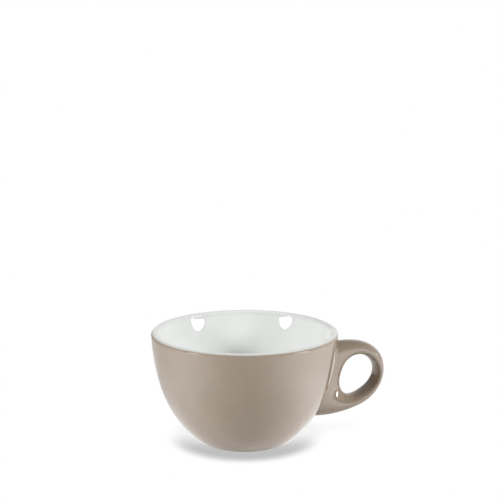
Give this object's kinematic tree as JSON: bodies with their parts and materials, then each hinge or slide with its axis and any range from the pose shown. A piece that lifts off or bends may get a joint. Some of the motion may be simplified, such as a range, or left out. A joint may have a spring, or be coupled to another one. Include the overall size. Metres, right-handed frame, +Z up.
{
  "type": "cappuccino cup",
  "caption": "Wide glazed ceramic cappuccino cup, taupe outside and white inside, with a rounded loop handle for one finger and a low foot ring.",
  "frame": {"origin": "centre of the foot on the table", "axes": "+Z up along the bowl's axis, +X out through the middle of the handle, +Y to the side"},
  "size_m": [0.1431, 0.11, 0.0647],
  "materials": {
    "clay": "bare fired clay, matte",
    "slip": "fired slip, matte",
    "white_glaze": "glossy white glaze",
    "taupe_glaze": "glossy taupe glaze, faintly mottled"
  },
  "bodies": {
    "root": {"bowl": "clay", "handle": "clay", "handle_slip": "slip", "lining_glaze": "white_glaze", "bowl_glaze": "taupe_glaze", "handle_glaze": "taupe_glaze", "recess_glaze": "white_glaze"}
  },
  "joints": []
}
